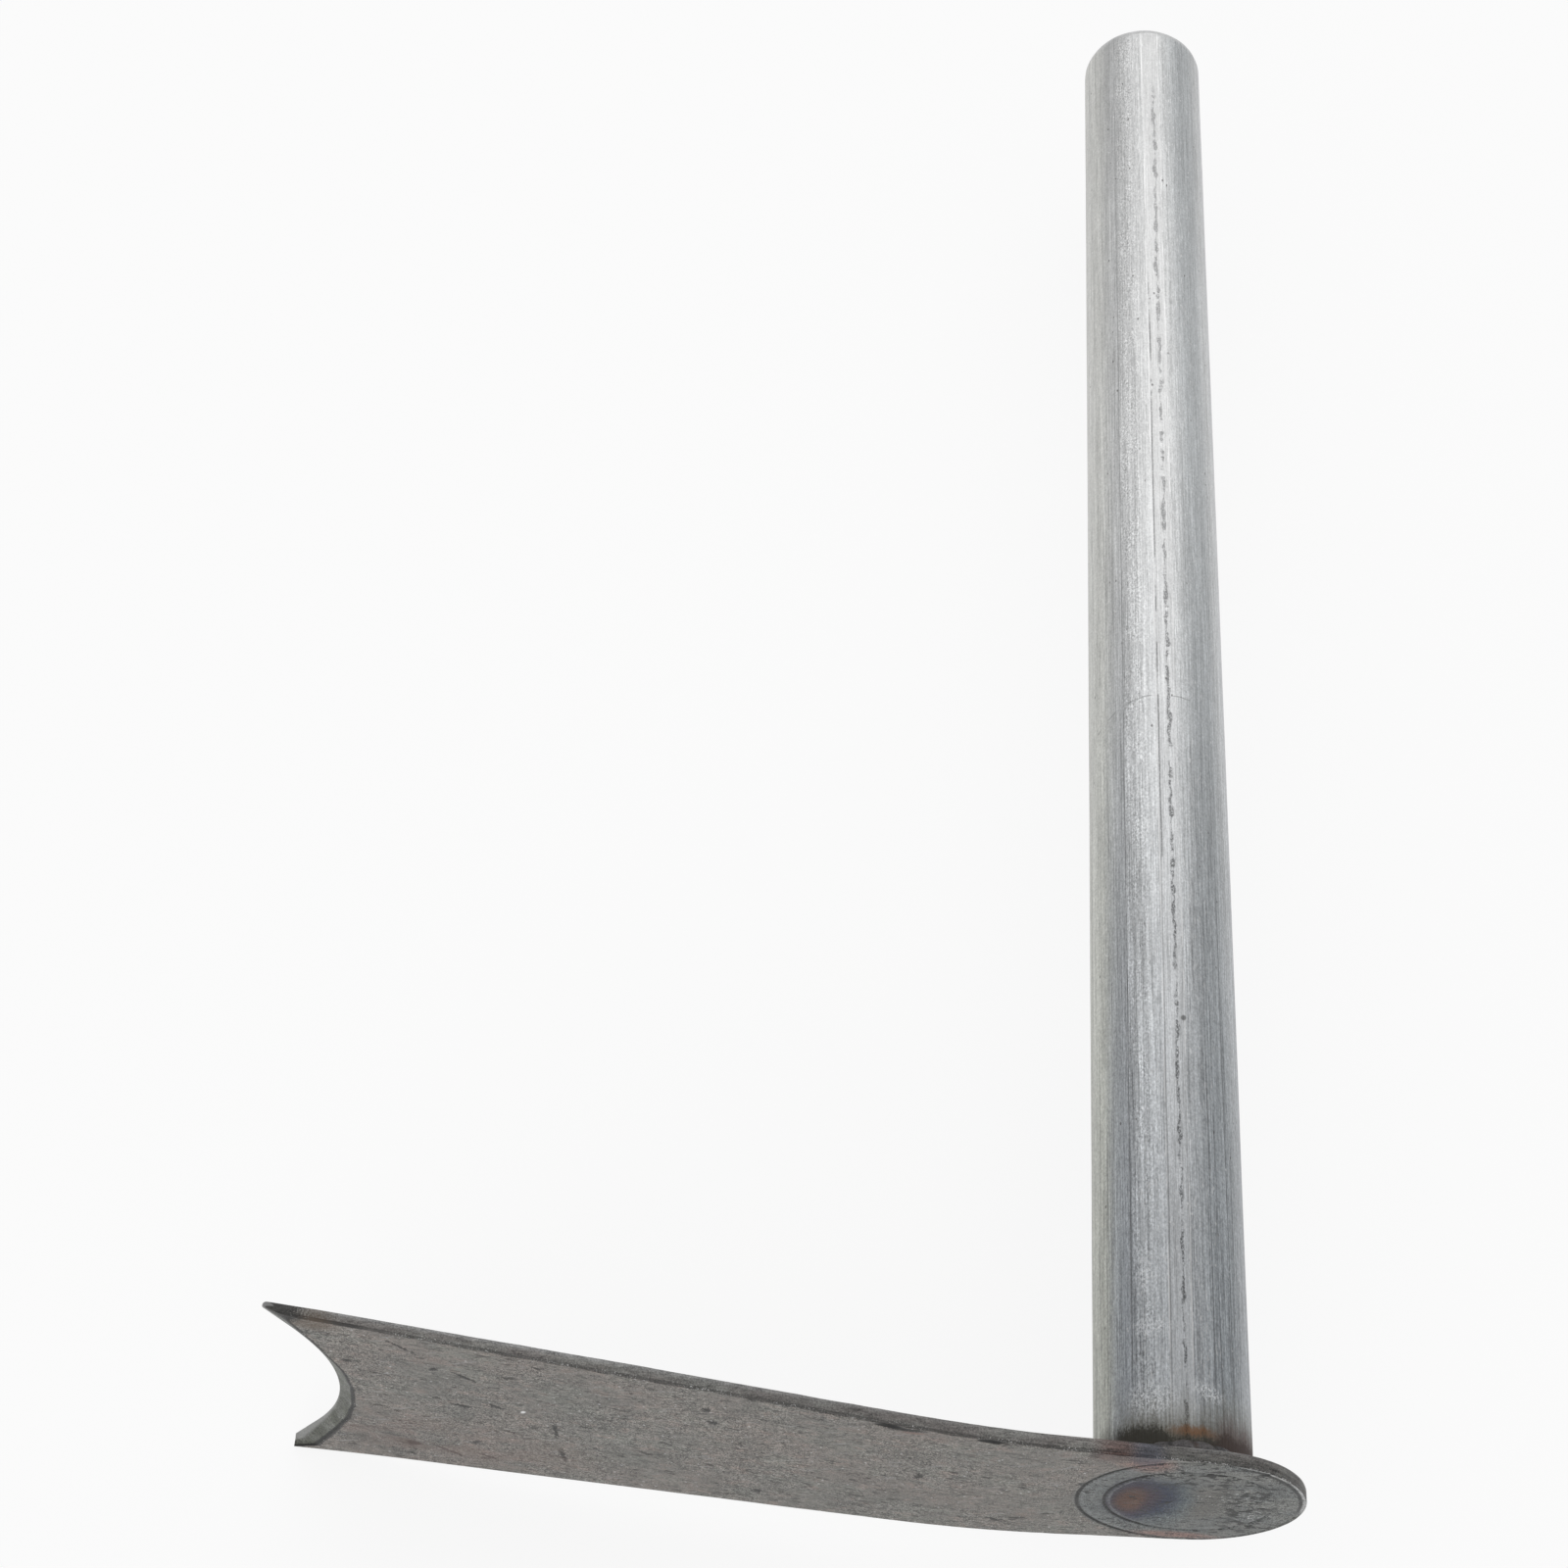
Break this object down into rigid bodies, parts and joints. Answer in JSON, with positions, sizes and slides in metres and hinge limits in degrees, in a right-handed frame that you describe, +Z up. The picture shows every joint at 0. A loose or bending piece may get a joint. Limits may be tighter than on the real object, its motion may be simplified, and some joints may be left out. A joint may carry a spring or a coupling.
{
  "type": "hand hoe",
  "caption": "All-steel hand hoe: a flared, bent blade with a crescent bevelled cutting end and round coined head, welded to a dome-ended tube handle.",
  "frame": {"origin": "where the handle's axis meets the outer face of the round head", "axes": "the tool lies on its side: +Y runs along the handle to its domed end, the blade reaches towards -X, and +Z is up, along the edge-to-edge width of the blade"},
  "size_m": [0.1632, 0.33, 0.0588],
  "materials": {
    "tube_steel": "bare drawn steel with fine lengthwise mill lines",
    "blade_steel": "bare plate with thin mill scale, heat tint at the head and a ground bevel",
    "weld_steel": "rough as-welded bead, dark with oxide"
  },
  "bodies": {
    "root": {"handle_tube": "tube_steel", "blade": "blade_steel", "weld_bead": "weld_steel"}
  },
  "joints": []
}
